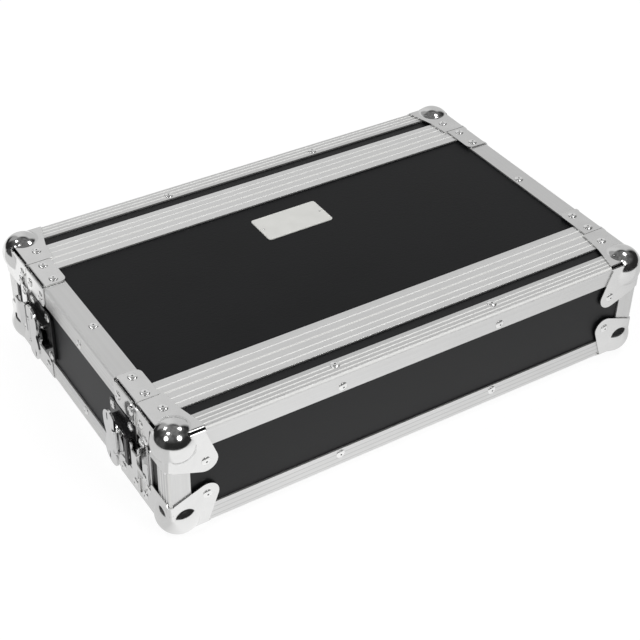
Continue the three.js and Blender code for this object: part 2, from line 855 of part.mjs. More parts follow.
function makeLatch(side, end, where) {
  const latch = latchPlace(side, end);
  latch.add(part(`latch_plate_${where}`, latchPlate(), 'chrome'));
  const drum = part(`latch_drum_${where}`, latchDrum(), 'chrome');
  drum.position.y = drumCentre;
  latch.add(drum);
  const wing = part(`latch_wing_${where}`, latchWing(), 'chrome');
  wing.position.set(capTop + wingPinRise, drumCentre - wingPinForward, 0);
  latch.add(wing);
  const hook = part(`latch_hook_${where}`, latchHook(), 'chrome');
  hook.position.set(latchLift, -latchStroke, 0);
  latch.add(hook);
  return latch;
}

function makeBody() {
  const body = new THREE.Group();
  body.add(part('sleeve', sleeve(), 'laminate'));
  const frame = bodyFrame();
  body.add(part('closing_frame_front', frame, 'aluminium'));
  const rearFrame = part('closing_frame_rear', frame.clone(), 'aluminium');
  rearFrame.rotation.z = Math.PI;
  body.add(rearFrame);
  for (const [sideZ, level] of [[1, 'top'], [-1, 'bottom']]) {
    for (const [sideX, hand] of [[-1, 'left'], [1, 'right']]) {
      body.add(part(`edge_angle_${level}_${hand}`, bodyAngle(sideX, sideZ), 'aluminium'));
      for (const [sideY, end] of [[-1, 'front'], [1, 'rear']]) {
        const bracket = placedAtCorner(cornerBracket(), sideX, sideY, sideZ);
        body.add(part(`corner_bracket_${end}_${level}_${hand}`, bracket, 'steel'));
      }
    }
  }
  body.add(part('rack_rail_left', rackRail(-1), 'rail'));
  body.add(part('rack_rail_right', rackRail(1), 'rail'));
  for (const [end, endName] of [[-1, 'front'], [1, 'rear']]) {
    for (const [side, hand] of [[-1, 'left'], [1, 'right']]) {
      body.add(makeLatch(side, end, `${endName}_${hand}`));
    }
  }
  return body;
}

// Everything on one lid, drawn at the front; left and right are seen from the front of the case
function makeLid(name, left, right) {
  const lid = new THREE.Group();
  lid.add(part(`${name}_tray`, lidTray(), 'laminate'));
  lid.add(part(`${name}_frame`, lidFrame(), 'aluminium'));
  lid.add(part(`${name}_angle_top`, lidLongAngle(1), 'aluminium'));
  lid.add(part(`${name}_angle_bottom`, lidLongAngle(-1), 'aluminium'));
  lid.add(part(`${name}_angle_${left}`, lidUprightAngle(-1), 'aluminium'));
  lid.add(part(`${name}_angle_${right}`, lidUprightAngle(1), 'aluminium'));
  lid.add(part(`${name}_foam`, lidFoam(), 'foam'));
  const corner = ballCorner();
  for (const [sideX, hand] of [[-1, left], [1, right]]) {
    for (const [sideZ, level] of [[1, 'top'], [-1, 'bottom']]) {
      const placed = placedAtCorner(corner, sideX, -1, sideZ);
      lid.add(part(`${name}_ball_corner_${level}_${hand}`, placed, 'steel'));
    }
    const place = latchPlace(sideX, -1);
    place.add(part(`${name}_keeper_${hand}`, keeper(), 'chrome'));
    lid.add(place);
  }
  return lid;
}

const rackCase = new THREE.Group();
rackCase.add(makeBody());
rackCase.add(makeLid('front_lid', 'left', 'right'));
const rearLid = makeLid('rear_lid', 'right', 'left');
rearLid.rotation.z = Math.PI;
rackCase.add(rearLid);

export default rackCase;
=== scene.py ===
"""Looks of the two-unit rack case: materials, rivets, domes, badge plate, lid foam, studio and camera."""

import math

import bmesh
import bpy
import numpy as np
from mathutils import Matrix, Vector


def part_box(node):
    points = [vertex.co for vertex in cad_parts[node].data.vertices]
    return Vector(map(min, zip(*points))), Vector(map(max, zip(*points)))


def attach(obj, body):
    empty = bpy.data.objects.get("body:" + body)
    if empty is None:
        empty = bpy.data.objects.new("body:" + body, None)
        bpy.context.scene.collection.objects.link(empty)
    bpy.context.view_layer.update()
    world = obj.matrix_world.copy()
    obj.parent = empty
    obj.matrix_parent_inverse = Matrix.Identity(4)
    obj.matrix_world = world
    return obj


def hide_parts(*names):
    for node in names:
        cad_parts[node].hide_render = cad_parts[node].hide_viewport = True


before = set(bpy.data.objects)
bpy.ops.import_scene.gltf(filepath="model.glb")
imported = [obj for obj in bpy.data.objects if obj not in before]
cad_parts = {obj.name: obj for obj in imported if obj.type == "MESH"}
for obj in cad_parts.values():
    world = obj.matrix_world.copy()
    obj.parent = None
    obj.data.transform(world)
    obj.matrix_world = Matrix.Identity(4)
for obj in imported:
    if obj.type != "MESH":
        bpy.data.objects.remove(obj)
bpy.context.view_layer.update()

MM = 0.001

# The sides of the case along y, x and z
LIDS = {-1: "front_lid", 1: "rear_lid"}
HANDS = {-1: "left", 1: "right"}
LEVELS = {-1: "bottom", 1: "top"}

# Outer faces of the aluminium, in millimetres from the middle of the case
outer_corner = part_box("front_lid_angle_left")[0]
HALF_WIDTH = -outer_corner.x / MM
HALF_DEPTH = -outer_corner.y / MM
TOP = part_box("front_lid_angle_top")[1].z / MM
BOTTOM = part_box("front_lid_angle_bottom")[0].z / MM
CENTRE_HEIGHT = (TOP + BOTTOM) / 2
HALF_HEIGHT = (TOP - BOTTOM) / 2
LID_DEPTH = 56.0
SEAM_Y = HALF_DEPTH - LID_DEPTH

# Pressed plates: how far their outer face stands off the aluminium, the radius of the edges that they are
# folded around, and how far in the slots along their folds reach
PLATE_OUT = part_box("corner_bracket_front_top_left")[1].z / MM - TOP
EDGE_RADIUS = 3.0
FOLD_SLOT = 1.8

# What lies within this of the outermost face counts as that face
FACE_MARGIN = 0.1

# Roundings of the edges, and the angle in degrees over which an edge counts as one
BOARD_ROUND = 0.3
FRAME_ROUND = 0.25
ANGLE_ROUND = 0.3
METAL_ROUND = 0.35
RAIL_ROUND = 0.4
ROUND_OVER = 40.0
EXTRUSION_ROUND_OVER = 60.0
ROUND_STEPS = 2
SMOOTH_UNDER = 33
JOIN_WITHIN = 0.01

# Outer edges of the aluminium get a painted highlight, paler and less metallic: from this far in from both
# faces, and fully from this far
EDGE_SHEEN_FROM = 2.6
EDGE_SHEEN_FULL = 1.2

# Satin aluminium
ALUMINIUM = (0.80, 0.80, 0.795)
FRAME_ALUMINIUM = (0.89, 0.89, 0.885)
SATIN_METALLIC = 0.8
SATIN_ROUGHNESS = 0.33
# The painted edge highlight: how metallic the metal is there, and how much rougher it gets
EDGE_SHEEN_METALLIC = 0.35
EDGE_SHEEN_ROUGHER = 0.25
STREAK_FINE = 2600.0
STREAK_SLOW = 5.0
BROAD_STREAKS = 12

# Where painted groove lines go on the aluminium: outwards from the seam between the frames, inwards from the
# end faces, and inwards from the top and the bottom on the body's sides and on the lids' bottom angles
FRAME_GROOVES_AT = (-8.8, 8.8, 16.2)
END_GROOVES_AT = (5.6, 10.45, 15.3)
SIDE_GROOVES_AT = (5.0, 9.0, 13.2)
LOW_GROOVES_AT = (5.2, 10.2, 15.2)
GROOVE_HALF = 0.65
SEAM_HALF = 1.0
SIDE_GROOVE_HALF = 0.35
LOW_GROOVE_HALF = 0.45
# Painted highlight of the grooves and the seam, and painted shade lines for the grooves on the lids' bottom
# angles
PAINTED_GROOVE_HIGHLIGHT = (1.0, 1.0, 0.98)
PAINTED_GROOVE_SHADE = (0.62, 0.62, 0.615)

# Sets of painted groove lines: the axis that they lie square to, then each one's distance from the middle of
# the case and its half width
FLANGE_GROOVES = (
    "Y",
    [(SEAM_Y + away, GROOVE_HALF) for away in FRAME_GROOVES_AT]
    + [(HALF_DEPTH - away, GROOVE_HALF) for away in END_GROOVES_AT]
    # the seam between the frames gets a painted highlight line as well
    + [(SEAM_Y, SEAM_HALF)],
)
SIDE_GROOVES = ("Z", [(HALF_HEIGHT - away, SIDE_GROOVE_HALF) for away in SIDE_GROOVES_AT])
LOW_GROOVES = ("Z", [(HALF_HEIGHT - away, LOW_GROOVE_HALF) for away in LOW_GROOVES_AT])

# Domes pressed in the ball corners
DOME_INSET = 13.5
DOME_CENTRE = Vector([DOME_INSET] * 3)
DOME_RADIUS = 20.55
DOME_FILLET = 1.2
DOME_TRIM = 14.0
DOME_TRIM_BLEND = 3.0
DOME_SINK = 0.06
DOME_GRID = 72
DOME_REACH = 1.15
DOME_SKIN = 0.8
DOME_LOWEST_RISE = 0.004
DOME_SEARCH = (12.0, 40.0)
PLATE_SEARCH = (2.0, 40.0)
SEARCH_STEPS = 40
SLOT_CLEAR = 0.25

# Planes that cut the domes: their axis and how far in they are
DOME_CUTS = [(0, FOLD_SLOT), (1, FOLD_SLOT), (2, FOLD_SLOT), (0, DOME_INSET), (1, DOME_INSET)]

# Rivets: a head's profile as shares of its radius and height
RIVET_RADIUS = 4.5
RIVET_HEIGHT = 1.5
RIVET_SINK = 0.2
RIVET_TURNS = 28
RIVET_PROFILE = [
    (1.00, -RIVET_SINK / RIVET_HEIGHT),
    (1.00, 0.14),
    (0.98, 0.26),
    (0.94, 0.38),
    (0.86, 0.53),
    (0.74, 0.70),
    (0.60, 0.84),
    (0.44, 0.94),
    (0.28, 1.00),
    (0.20, 0.98),
    (0.13, 0.90),
]

# Each rivet: its face's axis, its lengths inwards from the three outer faces, and how proud its face is
LATCH_PLATE_TOP = 1.7
BALL_CORNER_RIVETS = [
    (2, (17.6, 39.0, 0.0), PLATE_OUT),
    (0, (0.0, 45.0, 13.0), PLATE_OUT),
    (0, (0.0, 38.0, 26.0), PLATE_OUT),
    (1, (35.3, 0.0, 35.4), PLATE_OUT),
]
BRACKET_RIVETS = [
    (2, (13.4, LID_DEPTH + 8.0, 0.0), PLATE_OUT),
    (2, (13.4, LID_DEPTH + 32.0, 0.0), PLATE_OUT),
    (0, (0.0, LID_DEPTH + 8.0, 13.0), PLATE_OUT),
    (0, (0.0, LID_DEPTH + 32.0, 13.0), PLATE_OUT),
]
LID_ANGLE_RIVETS = [
    (2, (172.0, 14.0, 0.0), 0.0),
    (1, (172.0, 0.0, 14.5), 0.0),
]
BODY_ANGLE_RIVETS = [
    (2, (15.5, HALF_DEPTH, 0.0), 0.0),
    (0, (0.0, HALF_DEPTH, 15.0), 0.0),
]
LATCH_PLATE_RIVETS = [
    (0, (0.0, LID_DEPTH + back, HALF_HEIGHT + up), LATCH_PLATE_TOP)
    for back in (10.0, 44.0)
    for up in (-22.5, 22.5)
]
KEEPER_RIVETS = [
    (0, (0.0, LID_DEPTH - 10.75, HALF_HEIGHT + up), LATCH_PLATE_TOP)
    for up in (-20.0, 20.0)
]

# Foam pads in the lids: a round shoulder, a low crown and a slight swell
PAD_EDGE = 4.0
PAD_CROWN = 1.1
PAD_ROUGH = 0.25
PAD_STEP = 6.0
PAD_LEAST = 0.4
PAD_INSETS = [0.0, 0.15, 0.5, 1.2, 2.2, PAD_EDGE]
PAD_WAVE_ACROSS = 0.071
PAD_WAVE_UP = 0.113
PAD_WAVE_SLANT = 0.045
PAD_WAVE_SHIFT = 1.3

# Badge plate on the top panel. Its rings, from the glued side up, are insets from the outline and heights
BADGE_WIDTH = 74.0
BADGE_LENGTH = 38.0
BADGE_Y = 56.6
BADGE_THICKNESS = 1.0
BADGE_CORNER = 3.0
BADGE_CORNER_STEPS = 8
BADGE_RIM = 1.1
BADGE_RECESS = 0.25
BADGE_CHAMFER = 0.3
BADGE_SINK = 0.05
BADGE_ROUND = 0.1
BADGE_ROUND_OVER = 20.0
BADGE_RINGS = [
    (0.0, -BADGE_SINK),
    (0.0, BADGE_THICKNESS - BADGE_CHAMFER),
    (BADGE_CHAMFER, BADGE_THICKNESS),
    (BADGE_RIM, BADGE_THICKNESS),
    (BADGE_RIM + BADGE_CHAMFER, BADGE_THICKNESS - BADGE_RECESS),
]
BADGE_PIN_INSET = 4.6
BADGE_PIN_PROFILE = [(1.15, -0.1), (1.15, 0.12), (0.95, 0.34), (0.60, 0.48), (0.20, 0.53)]

# Studio floor: paper that lights the case, and a brighter one that the camera sees
FLOOR_SIZE = 12
FLOOR_DROP = 0.0002
PAPER = 0.8
SEEN_PAPER = 0.26
SEEN_GLOW = 0.84

# What mirrors show of the studio. The backdrop stands beyond the case, in this level direction
BACKDROP = (0.5446, 0.8387)
DARK_SEEN = 0.022
BACKDROP_SEEN_RIGHT = 0.60

# Each of these is a brightness or a share at two places, and then those places, in metres on the floor
FLOOR_ALONG_FRONT = (0.98, 0.78, -0.10, 0.30)
FLOOR_AT_SIDE = (0.0, 1.0, -0.02, 0.02)
FLOOR_SIDE_SEEN = 0.68
FLOOR_FADING = (1.0, DARK_SEEN, 0.7, 1.4)
FLOOR_TO_BACKDROP = (0.0, BACKDROP_SEEN_RIGHT, 0.15, 0.45)

# In the room the places are parts of the direction looked in: to the right, up, or towards the backdrop
BACKDROP_TOP = (0.02, 0.80, -0.25, 0.35)
BACKDROP_ACROSS = (0.70, BACKDROP_SEEN_RIGHT, 0.25, 0.50)
BACKDROP_EDGE = (0.0, 1.0, -0.05, 0.05)
BACKDROP_MIDDLE = (0.0, 1.0, 0.72, 0.86)
BACKDROP_WIDER = (0.0, 1.0, 0.38, 0.52)
BACKDROP_LEFTWARDS = (1.0, 0.0, 0.20, 0.40)
BACKDROP_HIGH = (0.0, 1.0, 0.25, 0.38)
BACKDROP_WIDER_SHARE = 0.5
CEILING = (0.0, 0.14, 0.45, 0.97)
CEILING_IN_FRONT = (1.0, 0.0, 0.40, 0.55)
LEFT_WALL = (0.05, 0.0, -0.95, -0.80)
PATCH_SCALE = 3.2
PATCHES = (0.35, 1.55, 0.36, 0.64)
SOFT_LIGHT = 0.50
SEEN_BACKGROUND = 1.0

# Round lamps: the direction of each one from the near ball corner, as shares of the camera's right, up and
# back, then its radius in metres and its brightness
LAMP_DISTANCE = 1.9
LAMPS = [
    (-0.505, 0.808, 0.305, 0.16, 8.5),
    (0.459, 0.829, 0.319, 0.19, 9.0),
    (-0.323, 0.575, 0.751, 0.17, 6.5),
    (-0.486, 0.209, 0.848, 0.30, 4.0),
    (0.546, 0.239, 0.803, 0.36, 3.6),
]

# Camera: its focal length in pixels of a picture this wide, its place in metres and its axes
PICTURE_WIDTH = 640
FOCAL_PIXELS = 1415.0265
SENSOR_WIDTH = 36.0
CLIP_START = 0.01
CAMERA_PLACE = Vector((-0.614016, -0.944650, 0.902945))
CAMERA_RIGHT = Vector((0.84653545, -0.53198901, 0.01911603))
CAMERA_UP = Vector((0.31406902, 0.52811672, 0.78895715))
CAMERA_BACK = Vector((-0.42981203, -0.66187644, 0.61415079))

# Places of the colour sockets on a mix node
MIX_COLOUR = 6
MIX_OTHER_COLOUR = 7
MIX_COLOUR_RESULT = 2


def add_node(tree, kind, inputs=None, **settings):
    """A node with its settings, its inputs set to values or linked to sockets."""
    made = tree.nodes.new(kind)
    for name, value in settings.items():
        setattr(made, name, value)
    for name, value in (inputs or {}).items():
        if isinstance(value, bpy.types.NodeSocket):
            tree.links.new(value, made.inputs[name])
        else:
            made.inputs[name].default_value = value
    return made


def math_node(tree, operation, a, b=0.0):
    return add_node(tree, "ShaderNodeMath", {0: a, 1: b}, operation=operation).outputs[0]


def product(tree, value, *others):
    """All the values multiplied."""
    for other in others:
        value = math_node(tree, "MULTIPLY", value, other)
    return value


def weighted(tree, a, share_a, b, share_b):
    """The sum of two values, each times its share."""
    return math_node(tree, "ADD", product(tree, a, share_a), product(tree, b, share_b))


def parts(tree, vector):
    """A vector's parts along x, y and z."""
    split = add_node(tree, "ShaderNodeSeparateXYZ", {"Vector": vector})
    return [split.outputs[axis] for axis in "XYZ"]


def object_place(tree, scale=(1, 1, 1)):
    """Coordinates on the piece itself, stretched by a scale for each axis."""
    place = add_node(tree, "ShaderNodeTexCoord")
    mapping = add_node(tree, "ShaderNodeMapping", {"Vector": place.outputs["Object"]})
    mapping.inputs["Scale"].default_value = scale
    return mapping.outputs["Vector"]


def noise(tree, vector, scale, detail=2.0, roughness=0.5):
    made = add_node(
        tree, "ShaderNodeTexNoise",
        {"Vector": vector, "Scale": scale, "Detail": detail, "Roughness": roughness},
    )
    return made.outputs["Fac"]


def spread(tree, value, low, high, start=0.3, end=0.7):
    """The value mapped from start..end to low..high."""
    made = add_node(
        tree, "ShaderNodeMapRange",
        {"Value": value, "From Min": start, "From Max": end, "To Min": low, "To Max": high},
    )
    return made.outputs["Result"]


def ramp(tree, value, dark, light, start=0.3, end=0.7):
    """A colour between two others."""
    made = add_node(tree, "ShaderNodeValToRGB", {"Fac": value})
    made.color_ramp.elements[0].position = start
    made.color_ramp.elements[0].color = (*dark, 1)
    made.color_ramp.elements[1].position = end
    made.color_ramp.elements[1].color = (*light, 1)
    return made.outputs["Color"]


def mixed_value(tree, factor, value, other):
    """The value where the factor is 0, and the other where it is 1."""
    return add_node(tree, "ShaderNodeMix", {"Factor": factor, "A": value, "B": other}).outputs["Result"]


def mixed_colour(tree, factor, colour, other):
    """The colour where the factor is 0, and the other, a socket or three numbers, where it is 1."""
    if isinstance(other, tuple):
        other = (*other, 1)
    inputs = {"Factor": factor, MIX_COLOUR: colour, MIX_OTHER_COLOUR: other}
    return add_node(tree, "ShaderNodeMix", inputs, data_type="RGBA").outputs[MIX_COLOUR_RESULT]


def bump(tree, height, strength, distance):
    inputs = {"Height": height, "Strength": strength, "Distance": distance}
    return add_node(tree, "ShaderNodeBump", inputs).outputs["Normal"]


def new_material(name, metallic, specular=0.5):
    material = bpy.data.materials.new(name)
    material.use_nodes = True
    tree = material.node_tree
    tree.nodes.clear()
    shader = add_node(tree, "ShaderNodeBsdfPrincipled")
    shader.inputs["Metallic"].default_value = metallic
    shader.inputs["Specular IOR Level"].default_value = specular
    add_node(tree, "ShaderNodeOutputMaterial", {"Surface": shader.outputs["BSDF"]})
    return material, tree, shader


def finish_with(tree, shader, colour, roughness, normal=None):
    for name, value in (("Base Color", colour), ("Roughness", roughness), ("Normal", normal)):
        if value is not None:
            tree.links.new(value, shader.inputs[name])


def laminate_material(name, specular, lit_sides_from=None):
    """Black laminate with a grain of short dashes and orange peel, painted paler further across than the
    given limit: painted light on the side faces.
    """
    material, tree, shader = new_material(name, 0.0, specular=specular)
    dashes = noise(tree, object_place(tree, (260, 900, 900)), scale=1.0, detail=1.0)
    peel = noise(tree, object_place(tree), scale=420.0)
    clouds = noise(tree, object_place(tree), scale=9.0, detail=4.0)
    grain = weighted(tree, dashes, 0.6, peel, 0.4)
    colour = ramp(tree, clouds, (0.0062, 0.0065, 0.0073), (0.0104, 0.0108, 0.0118))
    if lit_sides_from is not None:
        # Painted light: a paler colour on the side faces
        lit_sides = ramp(tree, clouds, (0.022, 0.0225, 0.024), (0.034, 0.035, 0.037))
        colour = mixed_colour(tree, past_across(tree, lit_sides_from), colour, lit_sides)
    finish_with(
        tree, shader,
        colour=colour,
        roughness=spread(tree, clouds, low=0.36, high=0.44),
        normal=bump(tree, grain, strength=0.22, distance=0.0006),
    )
    return material


def past_across(tree, limit):
    """1 further across than the limit, to the left or to the right, and 0 nearer the middle."""
    across = math_node(tree, "ABSOLUTE", parts(tree, object_place(tree))[0])
    return math_node(tree, "GREATER_THAN", across, limit)


def outer_edges(tree):
    """1 on the outer edges of the aluminium, where two of its faces meet, and 0 on the faces: where a
    highlight is painted on the edges.
    """
    x, y, z = parts(tree, object_place(tree))
    upright = math_node(tree, "SUBTRACT", z, CENTRE_HEIGHT * MM)
    near = []
    for value, half in ((x, HALF_WIDTH), (y, HALF_DEPTH), (upright, HALF_HEIGHT)):
        sheen_from = (half - EDGE_SHEEN_FROM) * MM
        sheen_full = (half - EDGE_SHEEN_FULL) * MM
        near.append(spread(tree, math_node(tree, "ABSOLUTE", value), 0.0, 1.0, sheen_from, sheen_full))
    wear_and_sheen = 0.0
    for i, j in ((0, 1), (1, 2), (0, 2)):
        wear_and_sheen = math_node(tree, "MAXIMUM", wear_and_sheen, math_node(tree, "MINIMUM", near[i], near[j]))
    return wear_and_sheen


def groove_lines(tree, axis, grooves):
    """1 in the grooves that lie square to the axis, and 0 between them: where pale painted highlight lines
    or dark painted shade lines go.
    """
    value = parts(tree, object_place(tree))["XYZ".index(axis)]
    middle = CENTRE_HEIGHT * MM if axis == "Z" else 0.0
    away = math_node(tree, "ABSOLUTE", math_node(tree, "SUBTRACT", value, middle))
    painted_lines = 0.0
    for place, half in grooves:
        off = math_node(tree, "ABSOLUTE", math_node(tree, "SUBTRACT", away, place * MM))
        painted_lines = math_node(tree, "MAXIMUM", painted_lines, math_node(tree, "LESS_THAN", off, half * MM))
    return painted_lines


def streaked_metal(name, along, shade, upright_past=None, highlit_grooves=FLANGE_GROOVES, dark=None):
    """Satin extruded metal, streaked along one axis, or upright further across than upright_past, with
    painted highlight lines on its grooves and painted shade lines where they are asked for.
    """
    material, tree, shader = new_material(name, SATIN_METALLIC)
    scales = {
        "x": (STREAK_SLOW, STREAK_FINE, STREAK_FINE),
        "y": (STREAK_FINE, STREAK_SLOW, STREAK_FINE),
        "z": (STREAK_FINE, STREAK_FINE, STREAK_SLOW),
    }
    streaks = noise(tree, object_place(tree, scales[along]), scale=1.0)
    broad_scale = tuple(scale / BROAD_STREAKS for scale in scales[along])
    broad = noise(tree, object_place(tree, broad_scale), scale=1.0)
    if upright_past is not None:
        upright = noise(tree, object_place(tree, scales["z"]), scale=1.0)
        streaks = mixed_value(tree, past_across(tree, upright_past), streaks, upright)
    clouds = noise(tree, object_place(tree), scale=22.0, detail=5.0)
    both = weighted(tree, streaks, 0.5, broad, 0.5)
    wear_and_sheen = weighted(tree, both, 0.7, clouds, 0.3)
    # Painted highlight on the outer edges: paler, rougher and less metallic there
    edge_sheen = outer_edges(tree)
    smooth = spread(tree, wear_and_sheen, SATIN_ROUGHNESS - 0.05, SATIN_ROUGHNESS + 0.06)
    rough = math_node(tree, "ADD", smooth, product(tree, edge_sheen, EDGE_SHEEN_ROUGHER))
    polish = spread(tree, edge_sheen, SATIN_METALLIC, EDGE_SHEEN_METALLIC, start=0.0, end=1.0)
    colour = ramp(tree, wear_and_sheen, shaded(shade, 0.93), shaded(shade, 1.04), start=0.35, end=0.65)
    # Painted shade: dark lines along the listed grooves
    if dark:
        colour = mixed_colour(tree, groove_lines(tree, *dark), colour, PAINTED_GROOVE_SHADE)
    # Painted highlight: pale, less metallic lines on the grooves
    painted_lines = groove_lines(tree, *highlit_grooves)
    if highlit_grooves is FLANGE_GROOVES:  # the flanges' outer edges get the same painted highlight as their grooves
        painted_lines = math_node(tree, "MAXIMUM", painted_lines, edge_sheen)
    polish = product(tree, polish, math_node(tree, "SUBTRACT", 1.0, painted_lines))
    tree.links.new(polish, shader.inputs["Metallic"])
    finish_with(
        tree, shader,
        colour=mixed_colour(tree, painted_lines, colour, PAINTED_GROOVE_HIGHLIGHT),
        roughness=rough,
        normal=bump(tree, both, strength=0.10, distance=0.0002),
    )
    return material


def shaded(colour, share):
    """The colour times a share, kept within 1."""
    return tuple(min(1.0, part * share) for part in colour)


def plated_metal(name, shade, roughness, wave, metallic=1.0):
    """Bright plated metal: nearly a mirror, with slight waves, cloudy polish and fine scratches."""
    material, tree, shader = new_material(name, metallic)
    clouds = noise(tree, object_place(tree), scale=55.0, detail=6.0, roughness=0.6)
    waves = noise(tree, object_place(tree), scale=130.0, detail=1.0)
    scratches = noise(tree, object_place(tree, (900, 120, 60)), scale=3.0, detail=3.0)
    height = math_node(tree, "ADD", waves, product(tree, scratches, 0.05))
    finish_with(
        tree, shader,
        colour=ramp(tree, clouds, shaded(shade, 0.95), shaded(shade, 1.03)),
        roughness=spread(tree, clouds, roughness * 0.7, roughness * 1.5, start=0.35, end=0.7),
        normal=bump(tree, height, strength=wave, distance=0.0004),
    )
    return material


def black_coat(name, specular, roughness, peel_depth):
    """Black paint or plating with a fine orange peel."""
    material, tree, shader = new_material(name, 0.0, specular=specular)
    peel = noise(tree, object_place(tree), scale=900.0)
    clouds = noise(tree, object_place(tree), scale=30.0, detail=4.0)
    finish_with(
        tree, shader,
        colour=ramp(tree, clouds, (0.007, 0.007, 0.008), (0.014, 0.014, 0.015)),
        roughness=spread(tree, clouds, roughness - 0.05, roughness + 0.05),
        normal=bump(tree, peel, strength=peel_depth, distance=0.0003),
    )
    return material


def foam_material():
    """Charcoal open-cell foam."""
    material, tree, shader = new_material("charcoal_foam", 0.0, specular=0.2)
    cell_inputs = {"Vector": object_place(tree), "Scale": 520.0}
    cells = add_node(tree, "ShaderNodeTexVoronoi", cell_inputs).outputs["Distance"]
    clouds = noise(tree, object_place(tree), scale=40.0, detail=5.0)
    shader.inputs["Sheen Weight"].default_value = 0.15
    finish_with(
        tree, shader,
        colour=ramp(tree, cells, (0.024, 0.024, 0.026), (0.095, 0.095, 0.099), start=0.1, end=0.6),
        roughness=spread(tree, clouds, low=0.9, high=1.0),
        normal=bump(tree, cells, strength=0.7, distance=0.0008),
    )
    return material


def dimple_shade_material():
    """Dull metal at the bottom of a rivet's dimple, dark partly for the metal's own dullness and partly as
    painted shade for the depth of the rivet's hole.
    """
    material, tree, shader = new_material("rivet_hole", 0.6)
    clouds = noise(tree, object_place(tree), scale=700.0)
    finish_with(
        tree, shader,
        colour=ramp(tree, clouds, (0.08, 0.08, 0.08), (0.20, 0.20, 0.20)),
        roughness=spread(tree, clouds, low=0.4, high=0.7),
    )
    return material


def badge_material():
    """Cream enamel."""
    material, tree, shader = new_material("cream_enamel", 0.0)
    clouds = noise(tree, object_place(tree), scale=60.0, detail=5.0)
    peel = noise(tree, object_place(tree), scale=650.0)
    finish_with(
        tree, shader,
        colour=ramp(tree, clouds, (0.80, 0.80, 0.77), (0.86, 0.86, 0.83)),
        roughness=spread(tree, clouds, low=0.28, high=0.40),
        normal=bump(tree, peel, strength=0.08, distance=0.0003),
    )
    return material


board_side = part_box("sleeve")[1].x - FACE_MARGIN * MM
frame_side = (HALF_WIDTH - FACE_MARGIN) * MM
laminate = laminate_material("black_laminate", specular=0.16, lit_sides_from=board_side)
lid_laminate = laminate_material("black_laminate_lid", specular=0.30)
# Every satin aluminium gets painted highlight lines on its grooves
aluminium_x = streaked_metal("satin_aluminium_x", "x", ALUMINIUM)
# The lids' bottom angles also get painted shade lines for their grooves
aluminium_low = streaked_metal("satin_aluminium_low", "x", ALUMINIUM, dark=LOW_GROOVES)
aluminium_y = streaked_metal("satin_aluminium_y", "y", ALUMINIUM, highlit_grooves=SIDE_GROOVES)
aluminium_z = streaked_metal("satin_aluminium_z", "z", ALUMINIUM)
aluminium_frame = streaked_metal("satin_aluminium_frame", "x", FRAME_ALUMINIUM, upright_past=frame_side)
plated_steel = plated_metal("bright_plated_steel", (0.84, 0.84, 0.835), roughness=0.12, wave=0.05)
chrome = plated_metal("bright_chrome", (0.84, 0.84, 0.84), roughness=0.07, wave=0.03)
rivet_metal = plated_metal("bright_rivet", (0.99, 0.99, 0.98), roughness=0.21, wave=0.06, metallic=0.84)
rail_black = black_coat("black_powder_coat", specular=0.4, roughness=0.47, peel_depth=0.25)
plate_black = black_coat("black_latch_plate", specular=0.5, roughness=0.22, peel_depth=0.05)
foam_grey = foam_material()
dimple_shade_grey = dimple_shade_material()
enamel = badge_material()


def geometry_group(name):
    """An empty geometry node group, its entry's and its exit's sockets."""
    group = bpy.data.node_groups.new(name, "GeometryNodeTree")
    for in_out in ("INPUT", "OUTPUT"):
        group.interface.new_socket("Geometry", in_out=in_out, socket_type="NodeSocketGeometry")
    entry = group.nodes.new("NodeGroupInput").outputs[0]
    return group, entry, group.nodes.new("NodeGroupOutput").inputs[0]


def cleaning_group():
    """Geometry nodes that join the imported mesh's split corners and shade it smooth."""
    group, entry, leave = geometry_group("join_and_smooth")
    merge_inputs = {"Geometry": entry, "Distance": JOIN_WITHIN * MM}
    merged = add_node(group, "GeometryNodeMergeByDistance", merge_inputs)
    smooth_inputs = {"Geometry": merged.outputs[0], "Shade Smooth": True}
    smooth = add_node(group, "GeometryNodeSetShadeSmooth", smooth_inputs)
    group.links.new(smooth.outputs[0], leave)
    return group


def creasing_group(angle):
    """Geometry nodes that mark the edges sharper than an angle, in degrees."""
    group, entry, leave = geometry_group(f"crease_over_{angle}")
    edge_angle = add_node(group, "GeometryNodeInputMeshEdgeAngle").outputs["Unsigned Angle"]
    sharp = math_node(group, "GREATER_THAN", edge_angle, math.radians(angle))
    crease_inputs = {"Geometry": entry, "Selection": sharp, "Shade Smooth": False}
    crease = add_node(group, "GeometryNodeSetShadeSmooth", crease_inputs, domain="EDGE")
    group.links.new(crease.outputs[0], leave)
    return group


JOIN = cleaning_group()
CREASE = creasing_group(SMOOTH_UNDER)


def soften(piece, width, limit=ROUND_OVER):
    """Rounds the sharp edges of a piece by width millimetres and keeps its flat faces flat."""
    joined = piece.modifiers.new("join", "NODES")
    joined.node_group = JOIN
    rounded = piece.modifiers.new("round", "BEVEL")
    rounded.width = width * MM
    rounded.segments = ROUND_STEPS
    rounded.limit_method = "ANGLE"
    rounded.angle_limit = math.radians(limit)
    rounded.miter_outer = "MITER_ARC"
    creased = piece.modifiers.new("crease", "NODES")
    creased.node_group = CREASE
    normals = piece.modifiers.new("weighted", "WEIGHTED_NORMAL")
    normals.keep_sharp = True


def dress(pattern, material, width, limit=ROUND_OVER):
    """Gives every CAD node whose name starts with the pattern its material and its rounded edges."""
    for name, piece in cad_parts.items():
        if name.startswith(pattern):
            piece.data.materials.clear()
            piece.data.materials.append(material)
            soften(piece, width, limit)


